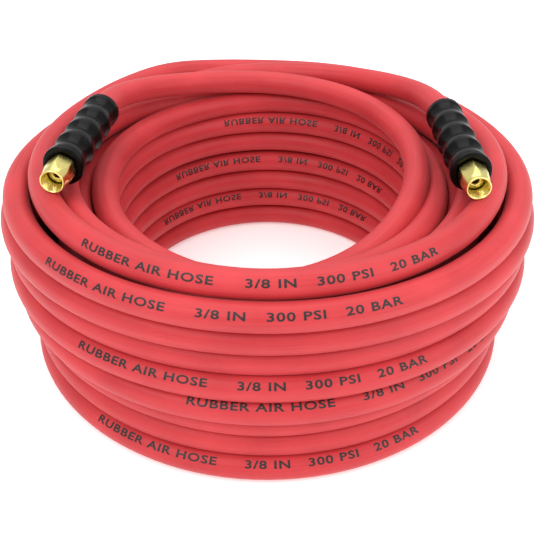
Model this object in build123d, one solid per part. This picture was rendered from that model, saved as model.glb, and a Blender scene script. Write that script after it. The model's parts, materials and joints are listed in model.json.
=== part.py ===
"""Coiled rubber air hose: a wound hose with a bend restrictor and a brass swivel end on each tip.

Frame: +Z up, millimetres, origin on the floor under the middle of the coil, +Y away from the
two open ends. Each end is built along its own axis, with depth counted inwards from the mouth.
"""
from build123d import *
import math
import os

# ---- hose wall, from the bore outwards
HOSE_BORE = 9.5
LINER_WALL = 1.3
BRAID_WALL = 0.9
COVER_WALL = 1.55
LINER_R = HOSE_BORE / 2 + LINER_WALL
BRAID_R = LINER_R + BRAID_WALL
HOSE_R = BRAID_R + COVER_WALL

# ---- coil envelope: two tiers of turns round an open middle
COIL_R = 177.0
COIL_HEIGHT = 136.0
COIL_EYE_R = 104.0
LOWER_TIER_IN = 9.0
LOWER_TIER_HEIGHT = 52.0
TIER_STEP_HEIGHT = 10.0
CROWN_WIDTH = 13.0
TOP_SHELF_OUT = 14.0
CROWN_SLOPE_WIDTH = 26.0
CROWN_SLOPE_DROP = 12.0
EYE_LIP_DROP = 20.0
EYE_FOOT_WIDTH = 8.0
EYE_FOOT_HEIGHT = 20.0
COIL_ROUNDING = 2.5

# ---- clearances
RUNNING = 0.08
END_PLAY = 0.5
HOSE_SEAT = 0.4

# ---- brass swivel nut: threaded mouth, round nose that widens to a hexagon, rear bearing
THREAD_MINOR_R = 6.05
THREAD_LENGTH = 8.5
MOUTH_BEVEL = 0.9
NOSE_LAND = 0.15
NOSE_RIM = 0.5
NOSE_R = THREAD_MINOR_R + MOUTH_BEVEL + NOSE_LAND + NOSE_RIM
NOSE_INSET = 0.35
NOSE_LENGTH = 2.0
NUT_FLATS = 2 * (NOSE_R + NOSE_INSET)
NUT_LENGTH = 20.0
NUT_SKIRT = 0.1
FLATS_LENGTH = 6.0
REAR_BEVEL = 1.6
CHAMBER_RELIEF = 0.55
CHAMBER_LENGTH = 6.0
NUT_GROOVE_DEPTH = 1.02
NUT_GROOVE_WIDTH = 1.9

# ---- hose stem that the nut turns on
STEM_BORE_R = 2.2
STEM_BORE_BEVEL = 0.3
COLLAR_PLAY = 0.1
COLLAR_RISE = 0.65
COLLAR_WIDTH = 2.2
COLLAR_GAP = 0.5
NOSE_TIP_R = 3.4
NOSE_DEPTH = 9.6
NOSE_CROWN_WIDTH = 1.5
NOSE_CROWN_DEPTH = 0.8
SHOULDER_RISE = 1.6
SHOULDER_WIDTH = 2.0
BARB_UNDERCUT = 0.1
BARB_BITE = 0.25
BARB_PITCH = 5.6
BARB_COUNT = 5
BARB_FACE = 0.4
BARB_LAND = 0.6
BARB_LEAD = 1.0
STEM_TIP_BEVEL = 0.6
STEM_TIP_LENGTH = 1.6

# ---- retaining wire between nut and stem
WIRE_R = 0.55
WIRE_SPLIT = 30.0
WIRE_SINK = 0.4
WIRE_PLAY = 0.1
WIRE_FLOOR_PLAY = 0.2

# ---- crimped ferrule
FERRULE_WALL = 0.9
FERRULE_LENGTH = 30.0
FERRULE_LIP = 1.5
FERRULE_BEVEL = 0.8
CRIMP_COUNT = 3
CRIMP_WIDTH = 4.0
CRIMP_DEPTH = 0.35
CRIMP_MARGIN = 2.0

# ---- bend restrictor: a front rim, bulges with waists between them, and a rear cuff
RESTRICTOR_LENGTH = 86.0
RIM_WALL = 3.6
RIM_WIDTH = 3.0
RIM_ROUNDING = 1.2
FRONT_BULGE_WALL = 3.2
CUFF_WALL = 3.7
WAIST_WALL = 0.9
WAIST_COUNT = 4
FIRST_BULGE = 0.6
CUFF = 0.7
CREST = 0.40
FALL_SWELL = 0.62
RISE_HOLLOW = 0.36
CUFF_ROUNDING = 1.6
RESTRICTOR_LIP = 1.8

# ---- where the two ends lie, and the hose from each end into the coil
END_SINK = 2.0
LEFT_MOUTH_IN = 48.5
LEFT_MOUTH_Y = -71.0
LEFT_HEADING = 7.6
RIGHT_MOUTH_IN = 52.5
RIGHT_MOUTH_Y = -79.0
RIGHT_HEADING = 2.0
TAIL_STRAIGHT = 31.0
TAIL_RUNS = (68.0, 60.0)
TAIL_TURN = 31.0
TAIL_DROPS = (4.0, 17.0)
CORNER_SHARE = 0.45

# ---- radii and depths that follow, depths from the mouth inwards
FERRULE_R = HOSE_R + FERRULE_WALL
COLLAR_R = THREAD_MINOR_R - COLLAR_PLAY
JOURNAL_R = COLLAR_R - COLLAR_RISE
BEARING_R = JOURNAL_R + RUNNING
SHOULDER_R = JOURNAL_R + SHOULDER_RISE
BARB_ROOT_R = HOSE_BORE / 2 - BARB_UNDERCUT
BARB_CREST_R = HOSE_BORE / 2 + BARB_BITE
WIRE_RING_R = JOURNAL_R - WIRE_SINK + WIRE_R
RIM_R = FERRULE_R + RIM_WALL
THREAD_END = MOUTH_BEVEL + THREAD_LENGTH
CHAMBER_END = THREAD_END + CHAMBER_LENGTH
GROOVE_MIDDLE = (CHAMBER_END + NUT_LENGTH) / 2
SHOULDER_START = NUT_LENGTH + END_PLAY
FERRULE_START = SHOULDER_START + SHOULDER_WIDTH
FERRULE_END = FERRULE_START + FERRULE_LENGTH
HOSE_START = FERRULE_START + FERRULE_LIP + HOSE_SEAT
RESTRICTOR_START = SHOULDER_START
RESTRICTOR_END = RESTRICTOR_START + RESTRICTOR_LENGTH
END_AXIS_Z = COIL_HEIGHT + RIM_R - END_SINK
LEFT_MOUTH = Vector(LEFT_MOUTH_IN - COIL_R, LEFT_MOUTH_Y, END_AXIS_Z)
RIGHT_MOUTH = Vector(COIL_R - RIGHT_MOUTH_IN, RIGHT_MOUTH_Y, END_AXIS_Z)


def turned(points):
    """Solid of revolution about the end's axis, from (radius, depth) corners."""
    outline = Polyline(*[(r, 0, -depth) for r, depth in points], close=True)
    return revolve(make_face(outline), axis=Axis.Z)


def swivel_nut():
    """Hexagon that tapers to a round nose: threaded mouth, chamber and rear bearing."""
    corner_r = NUT_FLATS / 2 / math.cos(math.pi / 6)
    skirt_r = corner_r + NUT_SKIRT
    hexagon = Pos(0, 0, -NUT_LENGTH) * extrude(
        RegularPolygon(corner_r, 6, rotation=30), NUT_LENGTH
    )
    blank = turned([
        (0, 0), (NOSE_R - NOSE_RIM, 0), (NOSE_R, NOSE_RIM), (NOSE_R, NOSE_LENGTH),
        (skirt_r, NUT_LENGTH - FLATS_LENGTH), (skirt_r, NUT_LENGTH - REAR_BEVEL / 2),
        (corner_r - REAR_BEVEL, NUT_LENGTH), (0, NUT_LENGTH),
    ])
    chamber_r = THREAD_MINOR_R + CHAMBER_RELIEF
    groove_r = BEARING_R + NUT_GROOVE_DEPTH
    groove_low = GROOVE_MIDDLE - NUT_GROOVE_WIDTH / 2
    groove_high = GROOVE_MIDDLE + NUT_GROOVE_WIDTH / 2
    past = 1.0
    hollow = turned([
        (0, -past), (THREAD_MINOR_R + MOUTH_BEVEL + past, -past),
        (THREAD_MINOR_R + MOUTH_BEVEL, 0), (THREAD_MINOR_R, MOUTH_BEVEL),
        (THREAD_MINOR_R, THREAD_END), (chamber_r, THREAD_END + CHAMBER_RELIEF),
        (chamber_r, CHAMBER_END), (BEARING_R, CHAMBER_END), (BEARING_R, groove_low),
        (groove_r, groove_low), (groove_r, groove_high), (BEARING_R, groove_high),
        (BEARING_R, NUT_LENGTH + past), (0, NUT_LENGTH + past),
    ])
    return (hexagon & blank) - hollow


def hose_stem():
    """Stem: domed seat, collar, journal with the wire's groove, shoulder and barbs."""
    collar_end = CHAMBER_END - COLLAR_GAP
    groove_r = JOURNAL_R - WIRE_SINK - WIRE_FLOOR_PLAY
    groove_low = GROOVE_MIDDLE - WIRE_R - WIRE_PLAY
    groove_high = GROOVE_MIDDLE + WIRE_R + WIRE_PLAY
    barb_start = HOSE_START + BARB_LEAD
    outline = [
        (STEM_BORE_R, NOSE_DEPTH + STEM_BORE_BEVEL), (STEM_BORE_R + STEM_BORE_BEVEL, NOSE_DEPTH),
        (NOSE_TIP_R, NOSE_DEPTH), (NOSE_TIP_R + NOSE_CROWN_WIDTH, NOSE_DEPTH + NOSE_CROWN_DEPTH),
        (COLLAR_R, collar_end - COLLAR_WIDTH), (COLLAR_R, collar_end),
        (JOURNAL_R, collar_end), (JOURNAL_R, groove_low),
        (groove_r, groove_low), (groove_r, groove_high),
        (JOURNAL_R, groove_high), (JOURNAL_R, SHOULDER_START),
        (SHOULDER_R, SHOULDER_START), (SHOULDER_R, FERRULE_START),
        (BARB_ROOT_R, FERRULE_START),
    ]
    for k in range(BARB_COUNT):
        start = barb_start + k * BARB_PITCH
        outline += [(BARB_ROOT_R, start), (BARB_CREST_R, start + BARB_FACE),
                    (BARB_ROOT_R, start + BARB_PITCH - BARB_LAND)]
    end = barb_start + BARB_COUNT * BARB_PITCH + STEM_TIP_LENGTH
    outline += [(BARB_ROOT_R, end - STEM_TIP_BEVEL), (BARB_ROOT_R - STEM_TIP_BEVEL, end),
                (STEM_BORE_R, end)]
    return turned(outline)


def retaining_wire():
    """Split wire ring, half in the stem's groove and half in the nut's."""
    section = Plane.XZ * Pos(WIRE_RING_R, -GROOVE_MIDDLE) * Circle(WIRE_R)
    return revolve(section, axis=Axis.Z, revolution_arc=360 - WIRE_SPLIT)


def ferrule():
    """Cup over the hose end, with crimped bands and a lip against the stem's shoulder."""
    outline = [(BARB_ROOT_R, FERRULE_START), (FERRULE_R - FERRULE_BEVEL, FERRULE_START),
               (FERRULE_R, FERRULE_START + FERRULE_BEVEL)]
    pitch = (FERRULE_LENGTH - CRIMP_MARGIN) / CRIMP_COUNT
    for k in range(CRIMP_COUNT):
        start = FERRULE_START + CRIMP_MARGIN + k * pitch + (pitch - CRIMP_WIDTH) / 2
        low, high = start + CRIMP_DEPTH, start + CRIMP_WIDTH - CRIMP_DEPTH
        outline += [(FERRULE_R, start), (FERRULE_R - CRIMP_DEPTH, low),
                    (FERRULE_R - CRIMP_DEPTH, high), (FERRULE_R, start + CRIMP_WIDTH)]
    lip = FERRULE_START + FERRULE_LIP
    outline += [(FERRULE_R, FERRULE_END), (HOSE_R, FERRULE_END), (HOSE_R, lip),
                (BARB_ROOT_R, lip)]
    return turned(outline)


def bend_restrictor():
    """Rubber boot over ferrule and hose: a rim, bulges with waists between, and a cuff."""
    front, back = RESTRICTOR_START, RESTRICTOR_END
    bulges = front + RIM_WIDTH
    pitch = (back - bulges) / (FIRST_BULGE + WAIST_COUNT - 1 + CUFF)
    bulge_r = FERRULE_R + FRONT_BULGE_WALL
    cuff_r = HOSE_R + CUFF_WALL
    waist_r = FERRULE_R + WAIST_WALL
    mouth_r = SHOULDER_R + END_PLAY

    def crest_r(depth):
        return bulge_r + (cuff_r - bulge_r) * (depth - bulges) / (back - bulges)

    def arc_to(start, end, share):
        """Arc whose middle lies at a share of the height between its ends."""
        middle = (end[1] + (start[1] - end[1]) / 2, min(start[0], end[0])
                  + share * abs(start[0] - end[0]))
        return ThreePointArc((start[0], 0, -start[1]), (middle[1], 0, -middle[0]),
                             (end[0], 0, -end[1]))

    face_r = RIM_R - RIM_ROUNDING
    side_depth = front + RIM_ROUNDING
    half_corner = RIM_ROUNDING * math.sin(math.pi / 4)
    edges = [
        Line((mouth_r, 0, -front), (face_r, 0, -front)),
        ThreePointArc((face_r, 0, -front), (face_r + half_corner, 0, half_corner - side_depth),
                      (RIM_R, 0, -side_depth)),
        Line((RIM_R, 0, -side_depth), (RIM_R, 0, -bulges)),
        Line((RIM_R, 0, -bulges), (bulge_r, 0, -bulges)),
    ]
    here = (bulge_r, bulges)
    for k in range(WAIST_COUNT):
        waist = (waist_r, bulges + (FIRST_BULGE + k) * pitch)
        crest_depth = waist[1] + CREST * pitch
        crest = (crest_r(crest_depth), crest_depth)
        edges += [arc_to(here, waist, FALL_SWELL), arc_to(waist, crest, RISE_HOLLOW)]
        here = crest
    inner = [(here[0], here[1]), (cuff_r, back - CUFF_ROUNDING), (cuff_r - CUFF_ROUNDING, back),
             (HOSE_R, back), (HOSE_R, FERRULE_END), (FERRULE_R, FERRULE_END),
             (FERRULE_R, FERRULE_START), (FERRULE_R - FERRULE_BEVEL, front + RESTRICTOR_LIP),
             (mouth_r, front + RESTRICTOR_LIP), (mouth_r, front)]
    edges += [Line((a[0], 0, -a[1]), (b[0], 0, -b[1])) for a, b in zip(inner, inner[1:])]
    return revolve(make_face(edges), axis=Axis.Z)


def coil():
    """Outer shape of the wound turns: a ring with a lower tier, a top shelf and an open eye."""
    tier_r = COIL_R - LOWER_TIER_IN
    crown_out_r = COIL_R - TOP_SHELF_OUT
    crown_in_r = crown_out_r - CROWN_WIDTH
    slope_foot_r = crown_in_r - CROWN_SLOPE_WIDTH
    slope_foot_z = COIL_HEIGHT - CROWN_SLOPE_DROP
    outline = FilletPolyline(
        (COIL_EYE_R + EYE_FOOT_WIDTH, 0, 0), (tier_r, 0, 0), (tier_r, 0, LOWER_TIER_HEIGHT),
        (COIL_R, 0, LOWER_TIER_HEIGHT + TIER_STEP_HEIGHT),
        (COIL_R, 0, COIL_HEIGHT - TOP_SHELF_OUT), (crown_out_r, 0, COIL_HEIGHT),
        (crown_in_r, 0, COIL_HEIGHT), (slope_foot_r, 0, slope_foot_z),
        (COIL_EYE_R, 0, slope_foot_z - EYE_LIP_DROP), (COIL_EYE_R, 0, EYE_FOOT_HEIGHT),
        radius=COIL_ROUNDING, close=True,
    )
    return revolve(make_face(outline), axis=Axis.Z)


def tail_route(mouth, heading, side):
    """Route of the hose from its end in the ferrule, over the coil and down into it.

    heading is the axis's swing away from -Y, outwards; side is -1 on the left and 1 on the right.
    """
    angle = heading
    here = mouth + HOSE_START * Vector(-side * math.sin(math.radians(angle)),
                                       math.cos(math.radians(angle)), 0)
    points = [here]
    runs = (RESTRICTOR_END - HOSE_START + TAIL_STRAIGHT,) + TAIL_RUNS
    drops = (0.0,) + TAIL_DROPS
    for run, drop in zip(runs, drops):
        swing = math.radians(angle)
        here = here + Vector(-side * run * math.sin(swing), run * math.cos(swing), -drop)
        points.append(here)
        angle += TAIL_TURN
    return points


def tail_path(name, points):
    """Straight runs joined by the largest tangent arcs that the runs allow."""
    radii = []
    for before, corner, after in zip(points, points[1:], points[2:]):
        arriving, leaving = corner - before, after - corner
        half_turn = math.radians(arriving.get_angle(leaving)) / 2
        radii.append(CORNER_SHARE * min(arriving.length, leaving.length) / math.tan(half_turn))
    print(name, "arc radii in mm", [round(r, 1) for r in radii])
    return FilletPolyline(*points, radius=radii)


def tail_layer(path, inner_r, outer_r):
    """One layer of the hose wall, swept along the tail's path."""
    start = Plane(path @ 0, z_dir=path % 0)
    return sweep(start * (Circle(outer_r) - Circle(inner_r)), path=path)


def write(name, shape):
    """Save one sub-part as its own STEP file."""
    shape.label = name
    export_step(shape, f"parts/{name}.step")


os.makedirs("parts", exist_ok=True)
write("hose_coil", coil())

for side_name, side, mouth, heading in (
    ("left", -1, LEFT_MOUTH, LEFT_HEADING),
    ("right", 1, RIGHT_MOUTH, RIGHT_HEADING),
):
    swing = math.radians(heading)
    outwards = Vector(side * math.sin(swing), -math.cos(swing), 0)
    place = Plane(mouth, x_dir=Vector(0, 0, 1), z_dir=outwards).location
    for piece_name, build in (
        ("swivel_nut", swivel_nut),
        ("hose_stem", hose_stem),
        ("retaining_wire", retaining_wire),
        ("ferrule", ferrule),
        ("bend_restrictor", bend_restrictor),
    ):
        write(f"{side_name}_{piece_name}", place * build())

    path = tail_path(side_name + " tail", tail_route(mouth, heading, side))
    print(side_name, "tail route in mm",
          [tuple(round(v, 1) for v in point) for point in tail_route(mouth, heading, side)])
    for layer_name, inner_r, outer_r in (
        ("hose_liner", HOSE_BORE / 2, LINER_R),
        ("hose_braid", LINER_R, BRAID_R),
        ("hose_cover", BRAID_R, HOSE_R),
    ):
        layer = tail_layer(path, inner_r, outer_r)
        section = math.pi * (outer_r**2 - inner_r**2)
        print(side_name, layer_name, "volume over section times length",
              round(layer.volume / (section * path.length), 4))
        write(f"{side_name}_{layer_name}", layer)
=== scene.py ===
"""Looks of a wound rubber air hose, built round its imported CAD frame.

The hose is one cord: a straight lead out of each fitting, and about 24 wound turns between them.
Every size is in metres and every place comes from the frame, +Z up, with -Y towards the camera.
"""

import json
import logging
import math
from dataclasses import dataclass, field
from enum import Enum
from typing import Callable, Sequence

import bmesh
import bpy
import numpy as np
from bpy.types import Material, Mesh, Node, NodeSocket, NodeTree, Object
from mathutils import Matrix, Vector

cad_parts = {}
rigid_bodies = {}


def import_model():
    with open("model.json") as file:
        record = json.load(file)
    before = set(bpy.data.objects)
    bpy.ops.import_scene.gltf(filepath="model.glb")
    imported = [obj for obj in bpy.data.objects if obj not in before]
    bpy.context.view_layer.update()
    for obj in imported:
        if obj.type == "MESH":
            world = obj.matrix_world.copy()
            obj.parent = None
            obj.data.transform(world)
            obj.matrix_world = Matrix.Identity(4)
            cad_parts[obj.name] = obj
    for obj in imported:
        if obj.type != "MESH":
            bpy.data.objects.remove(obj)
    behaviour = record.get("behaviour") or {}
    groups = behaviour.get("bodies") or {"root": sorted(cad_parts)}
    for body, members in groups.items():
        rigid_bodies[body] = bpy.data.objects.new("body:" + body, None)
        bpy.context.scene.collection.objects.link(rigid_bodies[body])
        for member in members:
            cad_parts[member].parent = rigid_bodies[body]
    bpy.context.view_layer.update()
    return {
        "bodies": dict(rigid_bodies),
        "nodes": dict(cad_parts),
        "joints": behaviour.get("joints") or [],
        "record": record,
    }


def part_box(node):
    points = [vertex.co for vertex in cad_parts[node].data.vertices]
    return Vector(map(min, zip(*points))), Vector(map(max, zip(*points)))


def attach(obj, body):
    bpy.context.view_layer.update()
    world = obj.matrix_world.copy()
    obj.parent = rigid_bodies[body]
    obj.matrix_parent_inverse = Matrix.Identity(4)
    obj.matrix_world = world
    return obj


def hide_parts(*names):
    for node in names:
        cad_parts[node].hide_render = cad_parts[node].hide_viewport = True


log = logging.getLogger("air_hose")
MM = 0.001
TAU = 2 * math.pi
Triple = tuple[float, float, float]
Outline = list[tuple[float, float]]


class Side(Enum):
    """The two free ends of the hose, named as they lie in front of the camera."""

    LEFT = "left"
    RIGHT = "right"


class Lane(Enum):
    """Which column of the wound coil a turn lies in."""

    EYE = 0
    MIDDLE = 1
    OUTSIDE = 2
    SHELF = 3
    RIM = 4


# -------- small helpers


def eased(share: np.ndarray) -> np.ndarray:
    """Smooth step from 0 to 1, of a share that is clipped to 0..1."""
    share = np.clip(share, 0.0, 1.0)
    return share * share * (3 - 2 * share)


def link(obj: Object) -> Object:
    """Put an object in the scene and return it."""
    bpy.context.scene.collection.objects.link(obj)
    return obj


def mesh_object(name: str, verts: Sequence, faces: Sequence,
                smooth: bool = True) -> Object:
    """Make a mesh object at the origin.

    Args:
        name: Name of the object and its mesh.
        verts: Points in metres.
        faces: Lists of point numbers.
        smooth: Whether its faces are shaded smooth.
    Returns:
        The linked object.
    """
    mesh = bpy.data.meshes.new(name)
    mesh.from_pydata([tuple(v) for v in verts], [], [tuple(f) for f in faces])
    mesh.polygons.foreach_set("use_smooth", [smooth] * len(mesh.polygons))
    mesh.update()
    return link(bpy.data.objects.new(name, mesh))


def facing(place: Sequence[float], target: Sequence[float]) -> Matrix:
    """Matrix of a camera or lamp that stands at a place and looks at a target."""
    aim = Vector(target) - Vector(place)
    return Matrix.Translation(Vector(place)) @ aim.to_track_quat("-Z", "Y").to_matrix().to_4x4()


def face_outwards(obj: Object) -> None:
    """Recalculate a closed mesh's normals so that they point outwards."""
    work = bmesh.new()
    work.from_mesh(obj.data)
    bmesh.ops.recalc_face_normals(work, faces=work.faces)
    work.to_mesh(obj.data)
    work.free()
    obj.data.update()


# -------- finishes


class NodePen:
    """Short hand for writing a material's node tree."""

    def __init__(self, name: str) -> None:
        """Start an empty material with a Principled shader and an output."""
        self.material = bpy.data.materials.new(name)
        self.material.use_nodes = True
        self.tree = self.material.node_tree
        self.tree.nodes.clear()
        self.shader = self.tree.nodes.new("ShaderNodeBsdfPrincipled")
        output = self.tree.nodes.new("ShaderNodeOutputMaterial")
        self.wire(self.shader.outputs["BSDF"], output.inputs["Surface"])
        self.place = self.tree.nodes.new("ShaderNodeTexCoord").outputs["Object"]

    def wire(self, source: NodeSocket, target: NodeSocket) -> None:
        """Link two sockets."""
        self.tree.links.new(source, target)

    def node(self, kind: str, inputs: dict | None = None, **settings: object) -> Node:
        """Add a node.

        Args:
            kind: Blender's node type.
            inputs: Values or sockets by input name or number.
            settings: Attributes to set on the node.
        Returns:
            The node.
        """
        made = self.tree.nodes.new(kind)
        for key, value in settings.items():
            setattr(made, key, value)
        self.fill(made, inputs or {})
        return made

    def fill(self, node: Node, inputs: dict) -> None:
        """Give a node's inputs their values, or link them to sockets."""
        for key, value in inputs.items():
            if isinstance(value, NodeSocket):
                self.wire(value, node.inputs[key])
            else:
                node.inputs[key].default_value = value

    def surface(self, inputs: dict) -> Material:
        """Fill the Principled shader's inputs and return the finished material."""
        self.fill(self.shader, inputs)
        return self.material

    def noise(self, scale: float, detail: float = 3.0, vector: NodeSocket | None = None,
              roughness: float = 0.5) -> NodeSocket:
        """Noise on Object coordinates, or on a given vector."""
        made = self.node("ShaderNodeTexNoise", {
            "Vector": vector or self.place, "Scale": scale, "Detail": detail,
            "Roughness": roughness})
        return made.outputs["Fac"]

    def span(self, value: NodeSocket, low: float, high: float, to_low: float = 0.0,
             to_high: float = 1.0) -> NodeSocket:
        """Map a value from one range to another, clamped."""
        made = self.node("ShaderNodeMapRange", {
            "Value": value, "From Min": low, "From Max": high, "To Min": to_low,
            "To Max": to_high})
        return made.outputs["Result"]

    def blend(self, share: NodeSocket, first: Sequence[float],
              second: Sequence[float]) -> NodeSocket:
        """Mix two colours by a share."""
        made = self.node("ShaderNodeMix", data_type="RGBA")
        self.wire(share, made.inputs["Factor"])
        for key, colour in (("A", first), ("B", second)):
            socket = [s for s in made.inputs if s.name == key and s.type == "RGBA"][0]
            socket.default_value = (*colour, 1.0)
        return [s for s in made.outputs if s.type == "RGBA"][0]

    def calc(self, first: NodeSocket, second: NodeSocket | float,
             operation: str = "ADD") -> NodeSocket:
        """One Math node on two values."""
        made = self.node("ShaderNodeMath", {0: first, 1: second}, operation=operation)
        return made.outputs[0]

    def bump(self, height: NodeSocket, strength: float, depth: float,
             under: NodeSocket | None = None) -> NodeSocket:
        """A bump of a given depth in metres, over another bump if one is given."""
        made = self.node("ShaderNodeBump", {
            "Height": height, "Strength": strength, "Distance": depth})
        if under is not None:
            self.wire(under, made.inputs["Normal"])
        return made.outputs["Normal"]


@dataclass(frozen=True)
class RedRubber:
    """Satin red rubber cover: mottled colour, faint lengthways flow marks and a fine grain."""

    deep: Triple = (0.47, 0.030, 0.036)
    light: Triple = (0.60, 0.046, 0.054)
    roughness: float = 0.48

    def build(self) -> Material:
        """Build the material; it reads the hose's own UV map, lengthways and round."""
        pen = NodePen("red_rubber_cover")
        uv = pen.node("ShaderNodeUVMap", uv_map="UVMap").outputs["UV"]
        split = pen.node("ShaderNodeSeparateXYZ", {"Vector": uv})
        turn = pen.calc(split.outputs["Y"], TAU, "MULTIPLY")
        ring = pen.node("ShaderNodeCombineXYZ", {
            "X": pen.calc(turn, 0.0, "COSINE"), "Y": pen.calc(turn, 0.0, "SINE"),
            "Z": pen.calc(split.outputs["X"], 3.0, "MULTIPLY")}).outputs["Vector"]
        streaks = pen.noise(7.0, 2.0, ring)
        mottle = pen.noise(26.0, 4.0)
        share = pen.calc(pen.calc(streaks, 0.35, "MULTIPLY"), pen.calc(mottle, 0.65, "MULTIPLY"))
        grain = pen.noise(1900.0, 2.0)
        dulled = pen.calc(mottle, pen.calc(grain, 0.3, "MULTIPLY"))
        flow = pen.bump(streaks, 0.35, 0.00025)
        return pen.surface({
            "Base Color": pen.blend(pen.span(share, 0.34, 0.66), self.deep, self.light),
            "Roughness": pen.span(dulled, 0.4, 0.95, self.roughness - 0.06, self.roughness + 0.10),
            "Normal": pen.bump(grain, 0.22, 0.00012, flow), "Specular IOR Level": 0.28,
            "Sheen Weight": 0.08, "Sheen Roughness": 0.45, "Sheen Tint": (1.0, 0.72, 0.72, 1.0)})


@dataclass(frozen=True)
class BlackRubber:
    """Moulded black rubber, glossy on the ribs, with a fine mould grain and light scuffs."""

    base: Triple = (0.003, 0.003, 0.003)
    scuffed: Triple = (0.007, 0.007, 0.008)

    def build(self) -> Material:
        """Build the material."""
        pen = NodePen("black_moulded_rubber")
        scuff = pen.noise(210.0, 5.0, roughness=0.65)
        share = pen.span(scuff, 0.55, 0.78)
        grain = pen.noise(2600.0, 2.0)
        return pen.surface({
            "Base Color": pen.blend(share, self.base, self.scuffed),
            "Roughness": pen.span(scuff, 0.35, 0.75, 0.22, 0.34),
            "Normal": pen.bump(grain, 0.18, 0.00010), "Specular IOR Level": 0.12})


@dataclass(frozen=True)
class TurnedBrass:
    """Bright machined brass with fine turning marks and a little tarnish."""

    name: str = "turned_brass"
    bright: Triple = (0.88, 0.76, 0.26)
    tarnish: Triple = (0.68, 0.54, 0.13)
    roughness: float = 0.23

    def build(self) -> Material:
        """Build the material."""
        pen = NodePen(self.name)
        stain = pen.noise(160.0, 4.0)
        share = pen.span(stain, 0.52, 0.80, 0.0, 0.7)
        marks = pen.noise(5200.0, 1.0)
        return pen.surface({
            "Base Color": pen.blend(share, self.bright, self.tarnish),
            "Roughness": pen.span(stain, 0.3, 0.8, self.roughness - 0.03, self.roughness + 0.14),
            "Normal": pen.bump(marks, 0.06, 0.00005), "Metallic": 1.0})


@dataclass(frozen=True)
class PrintInk:
    """Matt black ink, slightly worn so that the rubber's grain shows in it."""

    base: Triple = (0.010, 0.006, 0.007)
    worn: Triple = (0.045, 0.012, 0.014)

    def build(self) -> Material:
        """Build the material."""
        pen = NodePen("print_ink")
        wear = pen.noise(900.0, 4.0, roughness=0.7)
        return pen.surface({
            "Base Color": pen.blend(pen.span(wear, 0.58, 0.80), self.base, self.worn),
            "Roughness": pen.span(wear, 0.3, 0.8, 0.45, 0.65)})


@dataclass(frozen=True)
class SpringSteel:
    """Drawn steel wire."""

    def build(self) -> Material:
        """Build the material."""
        pen = NodePen("spring_steel")
        drawn = pen.noise(1500.0, 2.0)
        return pen.surface({
            "Base Color": pen.blend(drawn, (0.50, 0.50, 0.52), (0.66, 0.66, 0.68)),
            "Roughness": pen.span(drawn, 0.3, 0.7, 0.25, 0.4), "Metallic": 1.0})


@dataclass(frozen=True)
class StudioPaper:
    """Seamless white paper of the floor, lit a little from below."""

    def build(self) -> Material:
        """Build the material."""
        pen = NodePen("studio_paper")
        fibre = pen.noise(40.0, 3.0)
        return pen.surface({
            "Base Color": pen.blend(fibre, (0.90, 0.90, 0.90), (0.92, 0.92, 0.92)),
            "Roughness": 0.9, "Emission Color": (1.0, 1.0, 1.0, 1.0), "Emission Strength": 0.36})


# -------- where the ends lie


@dataclass
class EndPlace:
    """One fitting's place: its mouth, the way it points, and how far back its restrictor goes."""

    side: Side
    mouth: Vector
    outwards: Vector
    depths: dict[str, tuple[float, float]]

    @classmethod
    def read(cls, frame: dict, side: Side) -> "EndPlace":
        """Read an end's place from the frame's joint and nodes.

        Args:
            side: Which end.
        Returns:
            The place.
        """
        joint = [j for j in frame["joints"] if j["name"] == f"{side.value}_nut_swivel"][0]
        mouth, outwards = Vector(joint["pos_m"]), Vector(joint["axis"]).normalized()
        depths = {}
        for piece in ("swivel_nut", "hose_stem", "ferrule", "bend_restrictor"):
            mesh = frame["nodes"][f"{side.value}_{piece}"].data
            along = [(mouth - v.co).dot(outwards) for v in mesh.vertices]
            depths[piece] = (min(along), max(along))
        return cls(side, mouth, outwards, depths)

    def at(self, depth: float) -> Vector:
        """Point on the end's axis at a depth behind the mouth."""
        return self.mouth - self.outwards * depth

    def matrix(self) -> Matrix:
        """Turns a local frame, +Z out of the mouth and +X upwards, into the row frame."""
        up = Vector((0, 0, 1))
        across = self.outwards.cross(up)
        columns = Matrix((up, across, self.outwards)).transposed()
        return Matrix.Translation(self.mouth) @ columns.to_4x4()


# -------- the wound route


@dataclass(frozen=True)
class TurnShape:
    """Radii of a turn at the sides, in front and behind, and its height, in hose diameters."""

    side: float
    front: float
    back: float
    height: float = 0.0
    front_power: float = 2.4
    back_power: float = 2.0

    def radius(self, angle: np.ndarray) -> np.ndarray:
        """Radius at angles in radians from +X."""
        forwards = np.maximum(-np.sin(angle), 0) ** self.front_power
        backwards = np.maximum(np.sin(angle), 0) ** self.back_power
        return self.side + (self.front - self.side) * forwards + (self.back - self.side) * backwards


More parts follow.
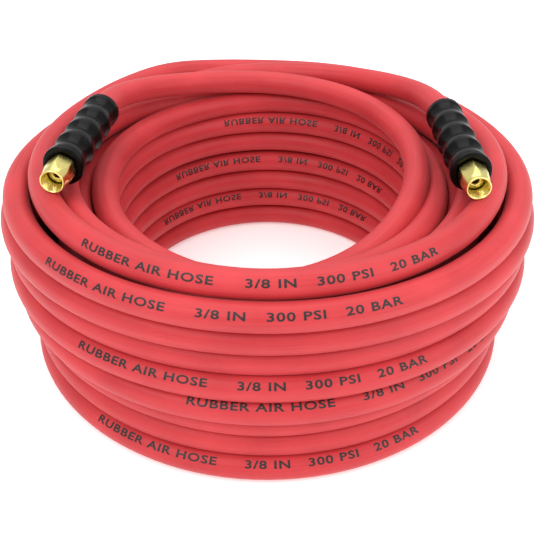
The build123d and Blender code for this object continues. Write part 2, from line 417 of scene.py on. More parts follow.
@dataclass
class Winding:
    """Route of the whole hose, in hose diameters until it is handed over.

    Seen from above, the hose leaves the left end clockwise, falls into the eye in front, winds
    down the eye and middle lanes row by row, up the outside, over the shelf and the rim, and
    climbs back to the right end.
    """

    hose_diameter: float
    ends: dict[Side, EndPlace]
    slices: int = 24
    spacing: float = 0.965
    rounds: int = 260
    spline_pull: float = 0.9915
    floor_height: float = 0.5
    widest_radius: float = 10.05
    eye: TurnShape = TurnShape(6.35, 7.65, 7.85)
    eye_heights: tuple[float, ...] = (0.50, 1.52, 2.48, 3.50, 4.60, 5.66, 6.62)
    middle: TurnShape = TurnShape(7.75, 8.65, 8.85)
    middle_heights: tuple[float, ...] = (0.50, 1.42, 2.34, 3.28, 4.22, 5.12, 5.98, 6.68)
    # how far the top middle rows lie outwards and upwards of their column at the sides
    side_shifts: tuple[tuple[float, float], ...] = ((0.0, 0.65), (-0.70, 0.22))
    side_power: float = 1.5
    outside: tuple[TurnShape, ...] = (
        TurnShape(9.25, 9.81, 9.80, 0.50), TurnShape(9.20, 9.54, 9.80, 1.46),
        TurnShape(9.30, 9.52, 9.80, 2.38), TurnShape(9.65, 9.93, 9.85, 3.22),
        TurnShape(9.92, 9.85, 9.85, 4.15), TurnShape(9.85, 9.55, 9.80, 5.07),
        TurnShape(10.02, 9.70, 9.85, 6.02))
    shelf: TurnShape = TurnShape(8.72, 9.10, 8.90, 7.70)
    rim: TurnShape = TurnShape(9.78, 9.85, 9.85, 7.00)
    # how firmly a turn keeps its planned place while the turns settle
    holds: tuple[float, ...] = (0.04, 0.02, 0.15, 0.20, 0.20)
    loose_hold: float = 0.25
    push_share: float = 0.45
    smoothing: float = 0.12
    front_change: float = 55.0
    back_change: float = 65.0
    shelf_delay: float = 35.0
    shelf_change: float = 50.0
    lead_past_cuff: float = 5 * MM
    lead_overlap: float = 2 * MM
    lead_points: int = 5
    # angle in degrees from +X, radius, height: the loose first turn and the last climb
    first_turn: tuple[Triple, ...] = (
        (150, 7.40, 8.48), (135, 7.45, 8.20), (120, 7.43, 7.92), (105, 7.40, 7.73),
        (90, 7.36, 7.62), (67, 6.90, 7.60), (45, 6.42, 7.55), (25, 6.06, 7.45),
        (-3, 5.84, 7.30), (-15, 5.90, 7.15), (-31, 6.02, 6.95), (-48, 6.25, 6.60),
        (-70, 6.60, 6.12), (-90, 6.80, 5.90), (-128, 6.70, 6.15), (-167, 6.45, 6.50))
    last_climb: tuple[Triple, ...] = (
        (167, 9.62, 6.98), (152, 9.42, 7.10), (121, 8.90, 7.36), (90, 8.48, 7.55),
        (59, 8.10, 7.95), (38, 7.85, 8.30), (30, 7.70, 8.45))

    def order(self) -> list[tuple[Lane, int]]:
        """Lane and row of each turn, from the first level one to the rim."""
        inner = []
        for row in range(len(self.eye_heights) - 1, -1, -2):
            inner += [(Lane.MIDDLE, row + 1), (Lane.MIDDLE, row)]
            inner += [(Lane.EYE, row - 1), (Lane.EYE, row - 2)] if row > 1 else []
        inner.insert(0, (Lane.EYE, len(self.eye_heights) - 1))
        outer = [(Lane.OUTSIDE, row) for row in range(len(self.outside))]
        return inner + outer + [(Lane.SHELF, 0), (Lane.RIM, 0)]

    def slot(self, lane: Lane, row: int, angle: np.ndarray) -> tuple[np.ndarray, np.ndarray]:
        """Where a turn would lie if nothing pushed it.

        Args:
            lane: Column of the coil.
            row: Row, counted from the floor.
            angle: Angles round the coil, in radians from +X.
        Returns:
            Radius and height at each angle.
        """
        shapes = {Lane.EYE: self.eye, Lane.MIDDLE: self.middle, Lane.SHELF: self.shelf,
                  Lane.RIM: self.rim}
        heights = {Lane.EYE: self.eye_heights, Lane.MIDDLE: self.middle_heights}
        shape = self.outside[row] if lane is Lane.OUTSIDE else shapes[lane]
        height = heights[lane][row] if lane in heights else shape.height
        radius, level = shape.radius(angle), np.full_like(angle, height)
        below_top = len(self.middle_heights) - 1 - row
        if lane is Lane.MIDDLE and below_top < len(self.side_shifts):
            sideways = np.abs(np.cos(angle)) ** self.side_power
            radius = radius + self.side_shifts[below_top][0] * sideways
            level = level + self.side_shifts[below_top][1] * sideways
        return radius, level

    def planned(self) -> tuple[np.ndarray, np.ndarray, np.ndarray, np.ndarray]:
        """Angles, radii, heights and holds of the wound part, before it settles."""
        start = self.first_turn[0][0]
        slots = self.order()
        inner_count = sum(1 for lane, _ in slots if lane in (Lane.EYE, Lane.MIDDLE))
        step = 360.0 / self.slices
        # the inner lanes change rows in front, the outer ones at the back
        drops = [start + 90 + 360 * (k + 1) for k in range(inner_count - 1)]
        drops += [drops[-1] + 180 + 360 * k for k in range(len(slots) - inner_count)]
        halves = [self.front_change] * (inner_count - 1)
        halves += [self.back_change] * (len(slots) - inner_count)
        onto_shelf = slots.index((Lane.SHELF, 0)) - 1
        drops[onto_shelf] += self.shelf_delay
        halves[onto_shelf] = self.shelf_change
        last = np.array(self.last_climb)[::-1]
        level_end = drops[-1] + 450 - last[-1, 0]
        travel = np.arange(0, level_end, step)
        bearing = start - travel
        angle = np.radians(bearing)
        radius, height = self.slot(*slots[0], angle)
        hold = np.full_like(radius, self.holds[slots[0][0].value])
        for (lane, row), centre, half in zip(slots[1:], drops, halves):
            share = eased((travel - centre + half) / (2 * half))
            next_radius, next_height = self.slot(lane, row, angle)
            radius = radius + (next_radius - radius) * share
            height = height + (next_height - height) * share
            hold = hold + (self.holds[lane.value] - hold) * share
        first = np.array(self.first_turn)[::-1]
        loose = bearing >= first[0, 0]
        radius[loose] = np.interp(bearing[loose], first[:, 0], first[:, 1])
        height[loose] = np.interp(bearing[loose], first[:, 0], first[:, 2])
        hold[loose] = self.loose_hold
        here = (start - travel[-1]) % 360
        climb = travel[-1] + np.arange(step, here - last[0, 0] + 0.5 * step, step)
        climb_angle = (start - climb) % 360
        hold = np.concatenate([hold, np.full(len(climb), self.loose_hold)])
        hold[:3] = 1.0
        hold[-2:] = 1.0
        return (np.radians(start - np.concatenate([travel, climb])),
                np.concatenate([radius, np.interp(climb_angle, last[:, 0], last[:, 1])]),
                np.concatenate([height, np.interp(climb_angle, last[:, 0], last[:, 2])]), hold)

    def settled(self) -> tuple[np.ndarray, np.ndarray, np.ndarray]:
        """Push the turns of each slice a diameter apart, and keep each turn smooth."""
        angle, planned_radius, planned_height, hold = self.planned()
        radius, height = planned_radius.copy(), planned_height.copy()
        count = len(angle)
        turns = math.ceil(count / self.slices)
        spare = np.full(turns * self.slices - count, np.nan)
        for _ in range(self.rounds):
            across = np.concatenate([radius, spare]).reshape(turns, self.slices)
            upward = np.concatenate([height, spare]).reshape(turns, self.slices)
            gap_across = across[:, None, :] - across[None]
            gap_upward = upward[:, None, :] - upward[None]
            gap = np.hypot(gap_across, gap_upward) + 1e-9
            push = np.nan_to_num(np.where((gap < self.spacing) & (gap > 1e-6),
                                          self.spacing - gap, 0))
            for line, way in ((radius, gap_across), (height, gap_upward)):
                moved = np.nan_to_num(push * way / gap).sum(1).reshape(-1)[:count]
                line += self.push_share * moved
            for line in (radius, height):
                line[1:-1] += self.smoothing * (0.5 * (line[2:] + line[:-2]) - line[1:-1])
            radius += hold * (planned_radius - radius)
            height += hold * (planned_height - height)
            height = np.maximum(height, self.floor_height)
            radius = np.minimum(radius, self.widest_radius)
        return angle, radius, height

    def points(self) -> list[Vector]:
        """Control points of the whole route in metres, from the left ferrule to the right one."""
        angle, radius, height = self.settled()
        scale = self.hose_diameter
        wide = radius * scale / self.spline_pull
        wound = [Vector((r * math.cos(a), r * math.sin(a), h * scale))
                 for a, r, h in zip(angle, wide, height)]
        leads = {}
        for side, end in self.ends.items():
            near = end.depths["ferrule"][0] + self.lead_overlap
            far = end.depths["bend_restrictor"][1] + self.lead_past_cuff
            leads[side] = [end.at(near + (far - near) * k / (self.lead_points - 1))
                           for k in range(self.lead_points)]
        return leads[Side.LEFT] + wound + leads[Side.RIGHT][::-1]


class HoseRoute:
    """The route as one NURBS spline, and the points and directions read from it."""

    def __init__(self, points: Sequence[Vector], resolution: int = 5) -> None:
        """Make the spline and read its line.

        Args:
            points: Control points in metres.
            resolution: Steps of the line between control points.
        """
        curve = bpy.data.curves.new("hose_route", "CURVE")
        curve.dimensions = "3D"
        spline = curve.splines.new("NURBS")
        spline.points.add(len(points) - 1)
        for point, place in zip(spline.points, points):
            point.co = (*place, 1.0)
        spline.order_u = 3
        spline.use_endpoint_u = True
        curve.resolution_u = resolution
        carrier = link(bpy.data.objects.new("hose_route", curve))
        mesh = bpy.data.meshes.new_from_object(carrier)
        self.line = np.array([v.co for v in mesh.vertices])
        bpy.data.objects.remove(carrier)
        bpy.data.meshes.remove(mesh)
        steps = np.linalg.norm(np.diff(self.line, axis=0), axis=1)
        self.travel = np.concatenate([[0], np.cumsum(steps)])
        self.length = float(self.travel[-1])

    def place(self, travel: np.ndarray) -> np.ndarray:
        """Points of the line at lengths from its start."""
        return np.stack([np.interp(travel, self.travel, self.line[:, k]) for k in range(3)], -1)

    def heading(self, travel: np.ndarray) -> np.ndarray:
        """Unit directions of the line at lengths from its start."""
        step = 4 * MM
        ahead = self.place(travel + step) - self.place(travel - step)
        return ahead / np.linalg.norm(ahead, axis=-1, keepdims=True)


# -------- the hose


class TubeTree:
    """Geometry Nodes tree that sweeps a round wall along a line of edges and maps it."""

    def __init__(self) -> None:
        """Build the tree and remember its input sockets."""
        tree = bpy.data.node_groups.new("hose_wall", "GeometryNodeTree")
        _, self.radius, self.sides, self.finish, _ = (
            tree.interface.new_socket(name, in_out=way, socket_type="NodeSocket" + kind)
            for name, way, kind in (
                ("Line", "INPUT", "Geometry"), ("Radius", "INPUT", "Float"),
                ("Sides", "INPUT", "Int"), ("Finish", "INPUT", "Material"),
                ("Tube", "OUTPUT", "Geometry")))
        entry, leave, curve, circle, sweep, shade, realize, paint = (
            tree.nodes.new(kind) for kind in (
                "NodeGroupInput", "NodeGroupOutput", "GeometryNodeMeshToCurve",
                "GeometryNodeCurvePrimitiveCircle", "GeometryNodeCurveToMesh",
                "GeometryNodeSetShadeSmooth", "GeometryNodeRealizeInstances",
                "GeometryNodeSetMaterial"))
        sweep.inputs["Fill Caps"].default_value = True
        along, around = (self._kept(tree, name) for name in ("Length", "Factor"))
        for source, output, target, name in (
                (entry, "Line", curve, "Mesh"), (entry, "Radius", circle, "Radius"),
                (entry, "Sides", circle, "Resolution"), (curve, "Curve", along, "Geometry"),
                (circle, "Curve", around, "Geometry"), (along, "Geometry", sweep, "Curve"),
                (around, "Geometry", sweep, "Profile Curve"), (sweep, "Mesh", shade, "Geometry"),
                (shade, "Geometry", realize, "Geometry"), (realize, "Geometry", paint, "Geometry"),
                (entry, "Finish", paint, "Material"), (paint, "Geometry", leave, "Tube")):
            tree.links.new(source.outputs[output], target.inputs[name])
        self.tree = tree

    @staticmethod
    def _kept(tree: NodeTree, output: str) -> Node:
        """Store a spline parameter as a named attribute of the curve."""
        parameter = tree.nodes.new("GeometryNodeSplineParameter")
        keep = tree.nodes.new("GeometryNodeStoreNamedAttribute")
        keep.data_type, keep.domain = "FLOAT", "POINT"
        keep.inputs["Name"].default_value = "hose_" + output.lower()
        tree.links.new(parameter.outputs[output], keep.inputs["Value"])
        return keep

    def sweep(self, name: str, line: np.ndarray, radius: float, sides: int,
              finish: Material) -> Object:
        """Sweep a tube and hand it back as a plain mesh.

        Args:
            name: Name of the piece.
            line: Points that it follows, in metres.
            radius: Outside radius in metres.
            sides: Facets round it.
            finish: Its material.
        Returns:
            The mesh object, with a UV map of metres along it and turns round it.
        """
        mesh = bpy.data.meshes.new(name + "_line")
        mesh.from_pydata([tuple(p) for p in line],
                         [(k, k + 1) for k in range(len(line) - 1)], [])
        carrier = link(bpy.data.objects.new(name + "_line", mesh))
        modifier = carrier.modifiers.new("wall", "NODES")
        modifier.node_group = self.tree
        modifier[self.radius.identifier] = radius
        modifier[self.sides.identifier] = sides
        modifier[self.finish.identifier] = finish
        bpy.context.view_layer.update()
        graph = bpy.context.evaluated_depsgraph_get()
        plain = bpy.data.meshes.new_from_object(carrier.evaluated_get(graph))
        bpy.data.objects.remove(carrier)
        plain.name = name
        self._map(plain)
        return link(bpy.data.objects.new(name, plain))

    @staticmethod
    def _map(mesh: Mesh) -> None:
        """Write the UV map from the stored parameters, with a clean seam."""
        count = len(mesh.vertices)
        along, around = np.zeros(count, np.float32), np.zeros(count, np.float32)
        mesh.attributes["hose_length"].data.foreach_get("value", along)
        mesh.attributes["hose_factor"].data.foreach_get("value", around)
        corners = np.zeros(len(mesh.loops), np.int32)
        mesh.loops.foreach_get("vertex_index", corners)
        uv = np.stack([along[corners], around[corners]], -1)
        for face in mesh.polygons:
            span = slice(face.loop_start, face.loop_start + face.loop_total)
            if face.loop_total == 4 and uv[span, 1].max() - uv[span, 1].min() > 0.5:
                uv[span, 1] = np.where(uv[span, 1] < 0.5, uv[span, 1] + 1, uv[span, 1])
        layer = mesh.uv_layers.get("UVMap") or mesh.uv_layers.new(name="UVMap")
        layer.data.foreach_set("uv", uv.astype(np.float32).ravel())


@dataclass
class PrintSpot:
    """One repeat of the print: which pass of the hose, and how it faces."""

    radius: float
    height: float
    angle: float
    roll: float
    flipped: bool = False


@dataclass
class HosePrint:
    """Generic size marking, wrapped on the hose as a skin of ink."""

    route: HoseRoute
    hose_diameter: float
    words: str = "RUBBER AIR HOSE     3/8 IN   300 PSI   20 BAR"
    letter_height: float = 4.6 * MM
    length: float = 205 * MM
    stroke_gain: float = 0.16 * MM
    ink_rise: float = 0.09 * MM
    slices: int = 7
    spots: tuple[PrintSpot, ...] = (
        PrintSpot(9.10, 7.75, -93, 37),
        PrintSpot(9.80, 7.05, -101, 37),
        PrintSpot(9.85, 4.15, -93, 41),
        PrintSpot(9.85, 3.22, -70, 52),
        PrintSpot(9.80, 0.50, -92, 46),
        PrintSpot(7.60, 5.66, 62, 148, True),
        PrintSpot(7.65, 3.50, 84, 148, True),
        PrintSpot(7.65, 1.52, 92, 148, True),
    )

    def flat(self) -> tuple[np.ndarray, list[tuple[int, ...]]]:
        """Letters laid flat: points in metres about the print's middle, and faces."""
        text = bpy.data.curves.new("print_letters", "FONT")
        text.body = self.words
        text.size = self.letter_height / 0.70
        text.resolution_u = 3
        text.space_character = 1.12
        text.offset = self.stroke_gain
        text.align_x, text.align_y = "CENTER", "CENTER"
        carrier = link(bpy.data.objects.new("print_letters", text))
        bpy.context.view_layer.update()
        mesh = bpy.data.meshes.new_from_object(carrier)
        bpy.data.objects.remove(carrier)
        work = bmesh.new()
        work.from_mesh(mesh)
        top = max(v.co.y for v in work.verts)
        bottom = min(v.co.y for v in work.verts)
        for k in range(1, self.slices):
            level = bottom + (top - bottom) * k / self.slices
            everything = work.verts[:] + work.edges[:] + work.faces[:]
            bmesh.ops.bisect_plane(work, geom=everything, dist=1e-7,
                                   plane_co=(0, level, 0), plane_no=(0, 1, 0))
        bmesh.ops.triangulate(work, faces=work.faces)
        work.verts.index_update()
        points = np.array([v.co for v in work.verts])
        points[:, 0] *= self.length / np.ptp(points[:, 0])
        faces = [tuple(v.index for v in face.verts) for face in work.faces]
        work.free()
        return points, faces

    def travel_at(self, spot: PrintSpot) -> float:
        """Length along the route where it passes closest to a spot."""
        angle = math.radians(spot.angle)
        target = self.hose_diameter * np.array([
            spot.radius * math.cos(angle), spot.radius * math.sin(angle), spot.height])
        nearest = np.argmin(np.linalg.norm(self.route.line - target, axis=1))
        return float(self.route.travel[nearest])

    def wrapped(self, points: np.ndarray, spot: PrintSpot) -> np.ndarray:
        """Wrap the flat letters on the hose at a spot.

        Args:
            points: Flat points, X along the print and Y up the letters.
            spot: Where and how it lies.
        Returns:
            Points in the row frame.
        """
        reading = 1.0 if spot.flipped else -1.0
        travel = self.travel_at(spot) + reading * points[:, 0]
        centre, heading = self.route.place(travel), self.route.heading(travel)
        outwards = centre * np.array([1.0, 1.0, 0.0])
        outwards -= heading * (outwards * heading).sum(-1, keepdims=True)
        outwards /= np.linalg.norm(outwards, axis=-1, keepdims=True)
        upwards = np.cross(outwards, heading)
        upwards *= np.sign(upwards[:, 2:3])
        reach = self.hose_diameter / 2 + self.ink_rise
        roll = math.radians(spot.roll) + points[:, 1] / reach
        across = np.cos(roll)[:, None] * outwards + np.sin(roll)[:, None] * upwards
        return centre + reach * across

    def build(self, ink: Material) -> Object:
        """Make every repeat of the print as one mesh."""
        points, faces = self.flat()
        verts, all_faces = [], []
        for spot in self.spots:
            base = len(verts)
            verts += [tuple(p) for p in self.wrapped(points, spot)]
            all_faces += [tuple(i + base for i in face) for face in faces]
        obj = mesh_object("hose_print", verts, all_faces, smooth=False)
        obj.data.materials.append(ink)
        return obj


# -------- turned and moulded pieces


def lathe(name: str, place: Matrix, outline: Outline, steps: int,
          shape: Callable[[float, float, float], float] | None = None) -> Object:
    """Turn a closed outline round the local Z axis.

    Args:
        name: Name of the piece.
        place: Local frame to row frame.
        outline: Closed list of (radius, depth) in metres, without a point on the axis.
        steps: Steps round the axis.
        shape: Gives the radius from (radius, depth, angle) where the piece isn't round.
    Returns:
        The closed mesh object.
    """
    verts = []
    for k in range(steps):
        angle = TAU * k / steps
        for radius, depth in outline:
            r = shape(radius, depth, angle) if shape else radius
            verts.append(place @ Vector((r * math.cos(angle), r * math.sin(angle), -depth)))
    size = len(outline)
    faces = []
    for k in range(steps):
        here, after = k * size, (k + 1) % steps * size
        for j in range(size):
            n = (j + 1) % size
            faces.append((here + j, after + j, after + n, here + n))
    obj = mesh_object(name, verts, faces)
    face_outwards(obj)
    return obj


def finely(outline: Outline, step: float) -> Outline:
    """Divide an outline's straight runs into steps of about a given length."""
    fine = []
    for (r0, d0), (r1, d1) in zip(outline, list(outline[1:]) + [outline[0]]):
        count = max(1, round(math.hypot(r1 - r0, d1 - d0) / step))
        fine += [(r0 + (r1 - r0) * k / count, d0 + (d1 - d0) * k / count) for k in range(count)]
    return fine


def bulge(start: float, front: float, across: float, along: float,
          degrees: Sequence[float]) -> Outline:
    """Rounded run of an outline, from (start, front) outwards and backwards."""
    return [(start + across * math.sin(a), front + along * (1 - math.cos(a)))
            for a in np.radians(degrees)]


@dataclass
class SwivelNut:
    """Brass nut: a long round cone in front, a short hexagon behind, and a threaded mouth."""

    place: EndPlace
    flats: float = 15.9 * MM
    flats_length: float = 6.0 * MM
    corner_round: float = 0.35 * MM
    nose_radius: float = 7.6 * MM
    nose_length: float = 2.0 * MM
    nose_round: float = 0.6 * MM
    rear_bevel: float = 1.6 * MM
    mouth_radius: float = 6.7 * MM
    thread_minor: float = 6.05 * MM
    thread_depth: float = 0.55 * MM
    thread_pitch: float = 1.411 * MM
    thread_end: float = 9.4 * MM
    chamber_radius: float = 6.6 * MM
    chamber_end: float = 15.4 * MM
    bearing_radius: float = 5.38 * MM
    groove_radius: float = 6.4 * MM
    groove: tuple[float, float] = (16.75 * MM, 18.65 * MM)
    hexagon_turn: float = math.radians(-4)

    def outline(self) -> Outline:
        """Closed outline from the rear bearing, over the outside and back through the mouth."""
        corner = self.flats / 2 / math.cos(math.pi / 6) + 0.1 * MM
        length = self.place.depths["swivel_nut"][1]
        rim = bulge(self.nose_radius - self.nose_round, 0.0, self.nose_round, self.nose_round,
                    [90, 72, 54, 36, 18, 0])
        outside = [(self.bearing_radius, length), (corner - self.rear_bevel, length),
                   (corner, length - 0.75 * self.rear_bevel), (corner, length - self.flats_length),
                   (self.nose_radius, self.nose_length)]
        minor, chamber, bearing = self.thread_minor, self.chamber_radius, self.bearing_radius
        near, far = self.groove
        inside = [(self.mouth_radius, 0.05 * MM), (minor, 0.9 * MM), (minor, self.thread_end),
                  (chamber, self.thread_end + 0.4 * MM), (chamber, self.chamber_end),
                  (bearing, self.chamber_end), (bearing, near), (self.groove_radius, near),
                  (self.groove_radius, far), (bearing, far)]
        return finely(outside + rim + inside, 0.24 * MM)

    def shape(self, radius: float, depth: float, angle: float) -> float:
        """Cut the hexagon's flats outside, and the thread inside."""
        if radius > self.mouth_radius + 0.2 * MM:
            sector = (angle + self.hexagon_turn) % (math.pi / 3) - math.pi / 6
            flat = self.flats / 2 / math.cos(sector)
            corner = self.flats / 2 / math.cos(math.pi / 6) - self.corner_round
            softened = corner + 0.4 * (flat - corner)
            return min(radius, softened if flat > corner else flat)
        if radius < self.mouth_radius and 0.2 * MM < depth < self.thread_end:
            wave = (depth / self.thread_pitch + angle / TAU) % 1.0
            fade = min(1.0, (self.thread_end - depth) / self.thread_pitch)
            groove = 1 - abs(2 * wave - 1) * 1.35
            return max(radius, self.thread_minor + self.thread_depth * max(0.0, groove) * fade)
        return radius

    def build(self, brass: Material) -> Object:
        """Make the nut and hang it on its swivelling body."""
        side = self.place.side.value
        obj = lathe(f"{side}_brass_nut", self.place.matrix(), self.outline(), 192, self.shape)
        obj.data.materials.append(brass)
        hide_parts(f"{side}_swivel_nut")
        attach(obj, f"{side}_nut")
        return obj


@dataclass
class HoseStem:
    """Brass stem: domed seat with a small bore, collar, journal, shoulder and barbs."""

    place: EndPlace
    bore: float = 2.2 * MM
    tip: float = 3.4 * MM
    dome_length: float = 1.7 * MM
    collar: float = 5.95 * MM
    collar_end: float = 14.9 * MM
    journal: float = 5.3 * MM
    groove: tuple[float, float] = (17.05 * MM, 18.35 * MM)
    groove_depth: float = 0.6 * MM
    shoulder: float = 6.9 * MM
    shoulder_length: float = 2.0 * MM
    barb_root: float = 4.65 * MM
    barb_crest: float = 5.0 * MM
    barb_start: float = 25.4 * MM
    barb_pitch: float = 5.6 * MM
    barbs: int = 5

    def outline(self) -> Outline:
        """Closed outline, from the seat back over the outside and forwards through the bore."""
        front, back = self.place.depths["hose_stem"]
        shoulder_end = self.place.depths["ferrule"][0]
        shoulder_start = shoulder_end - self.shoulder_length
        journal, floor = self.journal, self.journal - self.groove_depth
        near, far = self.groove
        dome = bulge(self.tip, front, self.collar - self.tip, self.dome_length,
                     [0, 15, 30, 45, 60, 75, 90])
        body = [(self.collar, self.collar_end), (journal, self.collar_end + 0.1 * MM),
                (journal, near), (floor, near + 0.05 * MM), (floor, far - 0.05 * MM),
                (journal, far), (journal, shoulder_start),
                (self.shoulder, shoulder_start + 0.02 * MM), (self.shoulder, shoulder_end),
                (self.barb_root, shoulder_end + 0.02 * MM)]
        barbs = []
        for k in range(self.barbs):
            start = self.barb_start + k * self.barb_pitch
            barbs += [(self.barb_root, start), (self.barb_crest, start + 0.4 * MM),
                      (self.barb_root, start + self.barb_pitch - 0.6 * MM)]
        end = [(self.barb_root - 0.6 * MM, back), (self.bore, back),
               (self.bore, front + 0.5 * MM), (self.bore + 0.35 * MM, front)]
        return finely(dome + body + barbs + end, 1.2 * MM)

    def build(self, brass: Material) -> Object:
        """Make the stem."""
        side = self.place.side.value
        obj = lathe(f"{side}_brass_stem", self.place.matrix(), self.outline(), 96)
        obj.data.materials.append(brass)
        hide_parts(f"{side}_hose_stem")
        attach(obj, "hose")
        return obj


@dataclass
class BendRestrictor:
    """Black rubber boot: a thick front rim, then full ribs between deep hollow waists."""

    place: EndPlace
    hose_radius: float
    rim_radius: float = 13.0 * MM
    rim_width: float = 3.0 * MM
    rim_round: float = 1.2 * MM
    front_radius: float = 12.6 * MM
    back_radius: float = 12.2 * MM
    waist_radius: float = 9.9 * MM
    waists: int = 4
    first_rib: float = 0.6
    cuff: float = 0.7
    crest: float = 0.40
    lip_radius: float = 7.4 * MM
    play: float = 0.02 * MM
    ferrule_room: float = 0.95 * MM
    fineness: int = 180

    def radius_at(self, share: float) -> float:
        """Radius of the outside at a share of the length behind the rim.

        Args:
            share: 0 just behind the rim, 1 at the back.
        Returns:
            The radius: it rises steeply from a waist to a crest, and falls gently to the next.
        """
        pitches = self.first_rib + self.waists - 1 + self.cuff
        taper = self.front_radius + (self.back_radius - self.front_radius) * share
        behind = share * pitches - self.first_rib
        if behind < 0:
            fall = (behind + self.first_rib) / self.first_rib
        elif behind > self.waists - 1:
            fall = 1 - min(1.0, (behind - self.waists + 1) / self.crest)
            return taper - (taper - self.waist_radius) * fall ** 0.55
        elif behind % 1.0 < self.crest:
            rise = behind % 1.0 / self.crest
            return self.waist_radius + (taper - self.waist_radius) * rise ** 1.7
        else:
            fall = (behind % 1.0 - self.crest) / (1 - self.crest)
        return taper - (taper - self.waist_radius) * fall ** 2.2

    def outline(self) -> Outline:
        """Closed outline: the front rim, the ribs, the rounded tail and the bore."""
        front, back = self.place.depths["bend_restrictor"]
        ferrule_end = self.place.depths["ferrule"][1]
        edge, behind = self.rim_radius, front + self.rim_width
        nose = [(self.lip_radius, front + 0.2 * MM), (edge - 1.6 * MM, front)]
        nose += bulge(edge - self.rim_round, front, self.rim_round, self.rim_round,
                      [15, 40, 65, 90])
        nose += [(edge, behind - 0.8 * MM), (edge - 0.3 * MM, behind - 0.4 * MM),
                 (edge - 1.3 * MM, behind - 0.2 * MM), (edge - 1.3 * MM, behind + 0.1 * MM),
                 (self.front_radius - 0.3 * MM, behind + 0.4 * MM)]
        length = back - behind
        wall = [(self.radius_at(k / self.fineness), behind + length * k / self.fineness)
                for k in range(2, self.fineness - 3)]
        hose, ferrule = self.hose_radius + self.play, self.hose_radius + self.ferrule_room
        tail = [(self.back_radius - 0.45 * MM, back - 1.0 * MM),
                (self.back_radius - 0.9 * MM, back - 0.4 * MM),
                (self.back_radius - 1.6 * MM, back), (self.hose_radius + 0.5 * MM, back),
                (hose, back - 0.5 * MM)]
        bore = [(hose, ferrule_end), (ferrule, ferrule_end), (ferrule, front + 2.4 * MM),
                (self.lip_radius, front + 1.8 * MM)]
        return nose + wall + tail + bore

    def build(self, rubber: Material) -> Object:
        """Make the boot."""
        side = self.place.side.value
        obj = lathe(f"{side}_rubber_boot", self.place.matrix(), self.outline(), 96)
        obj.data.materials.append(rubber)
        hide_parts(f"{side}_bend_restrictor")
        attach(obj, "hose")
        return obj


# -------- the studio


@dataclass
class Studio:
    """Camera, lights, floor and world."""

    camera_place: Triple = (0.0, -0.542, 0.403)
    camera_target: Triple = (0.0, -0.006, 0.0421)
    focal_length: float = 60.3
    floor_size: float = 6.0
    world_strength: float = 0.73
    lamp_aim: Triple = (0.0, 0.0, 0.07)

    def camera(self) -> None:
        """Make the camera, looking down at the front of the coil."""
        data = bpy.data.cameras.new("camera")
        data.sensor_width = 36.0
        data.lens = self.focal_length
        data.clip_start = 0.01
        eye = link(bpy.data.objects.new("camera", data))
        eye.matrix_world = facing(self.camera_place, self.camera_target)
        bpy.context.scene.camera = eye

    def lamp(self, name: str, place: Sequence[float], size: float, power: float) -> None:
        """Make a square soft box, its side in metres and its power in watts, facing the coil."""
        data = bpy.data.lights.new(name, "AREA")
        data.shape, data.size, data.energy = "SQUARE", size, power
        lamp = link(bpy.data.objects.new(name, data))
        lamp.matrix_world = facing(place, self.lamp_aim)

    def build(self) -> None:
        """Make the floor, the lamps and the world."""
        half = self.floor_size / 2
        corners = [(x * half, y * half, 0) for x, y in ((-1, -1), (1, -1), (1, 1), (-1, 1))]
        floor = mesh_object("floor", corners, [(0, 1, 2, 3)], smooth=False)
        floor.data.materials.append(StudioPaper().build())
        self.lamp("key_light", (-0.7, -0.9, 1.3), 0.9, 10.5)
        self.lamp("fill_light", (1.1, -0.7, 0.9), 1.2, 8.5)
        self.lamp("top_light", (0.0, 0.4, 1.5), 1.4, 12)
        world = bpy.data.worlds.new("studio_world")
        world.use_nodes = True
        backdrop = world.node_tree.nodes["Background"]
        backdrop.inputs["Color"].default_value = (1.0, 1.0, 1.0, 1.0)
        backdrop.inputs["Strength"].default_value = self.world_strength
        bpy.context.scene.world = world
        bpy.context.scene.view_settings.view_transform = "Standard"


# -------- the whole hose


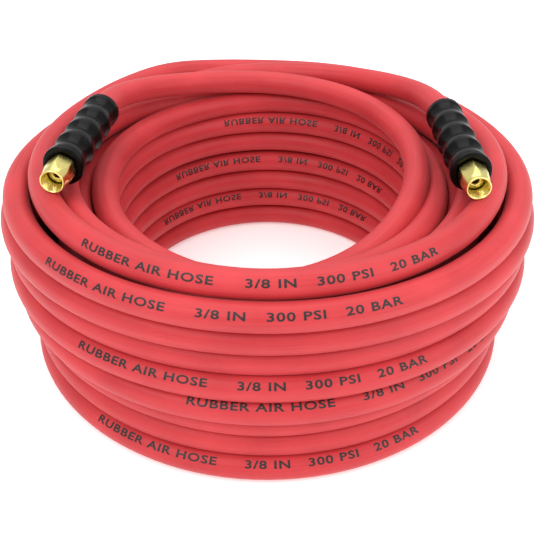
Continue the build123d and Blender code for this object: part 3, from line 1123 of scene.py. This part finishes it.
@dataclass
class AirHose:
    """The whole object: the wound hose, its print and its two ends."""

    frame: dict
    nominal_length: float = 22.86
    sides_round: int = 30
    ferrule_wall: float = 0.9 * MM
    hose_nodes: tuple[str, ...] = ("hose_liner", "hose_braid", "hose_cover")
    ends: dict[Side, EndPlace] = field(default_factory=dict)

    def measure(self) -> float:
        """Hose diameter, from the height of the level ferrule that fits round it."""
        low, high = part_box("right_ferrule")
        return round((high.z - low.z) - 2 * self.ferrule_wall, 5)

    def build(self) -> None:
        """Build every piece and log it."""
        self.ends = {side: EndPlace.read(self.frame, side) for side in Side}
        diameter = self.measure()
        log.info("hose diameter %.4f m", diameter)
        route = HoseRoute(Winding(diameter, self.ends).points())
        log.info("route length %.3f m, %d points", route.length, len(route.line))
        hose = TubeTree().sweep("hose", route.line, diameter / 2, self.sides_round,
                                RedRubber().build())
        face_outwards(hose)
        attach(hose, "hose")
        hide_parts("hose_coil", *[f"{side.value}_{layer}" for side in Side
                                         for layer in self.hose_nodes])
        letters = HosePrint(route, diameter).build(PrintInk().build())
        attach(letters, "hose")
        pieces = [letters] + self.build_ends(diameter / 2)
        start = self.ends[Side.LEFT]
        tuple(start.at(start.depths["ferrule"][0]))
        log.info("hose: %d faces", len(hose.data.polygons))

    def build_ends(self, hose_radius: float) -> list[Object]:
        """Build both ends, and dress the CAD pieces that stay.

        Args:
            hose_radius: Outside radius of the hose.
        Returns:
            The fixed pieces on the hose.
        """
        brass = TurnedBrass().build()
        crimped = TurnedBrass("crimped_brass", (0.78, 0.57, 0.22), (0.5, 0.34, 0.12), 0.3).build()
        rubber = BlackRubber().build()
        steel = SpringSteel().build()
        pieces = []
        for side, place in self.ends.items():
            SwivelNut(place).build(brass)
            pieces.append(HoseStem(place).build(brass))
            pieces.append(BendRestrictor(place, hose_radius).build(rubber))
            for node, finish in (("ferrule", crimped), ("retaining_wire", steel)):
                cad = self.frame["nodes"][f"{side.value}_{node}"]
                cad.data.materials.clear()
                cad.data.materials.append(finish)
                log.info("%s keeps its CAD shape", cad.name)
            log.info("%s end built", side.value)
        return pieces


def main() -> None:
    """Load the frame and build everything."""
    logging.basicConfig(level=logging.INFO, format="%(name)s: %(message)s")
    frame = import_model()
    studio = Studio()
    studio.camera()
    AirHose(frame).build()
    studio.build()


if __name__ == "__main__":
    main()
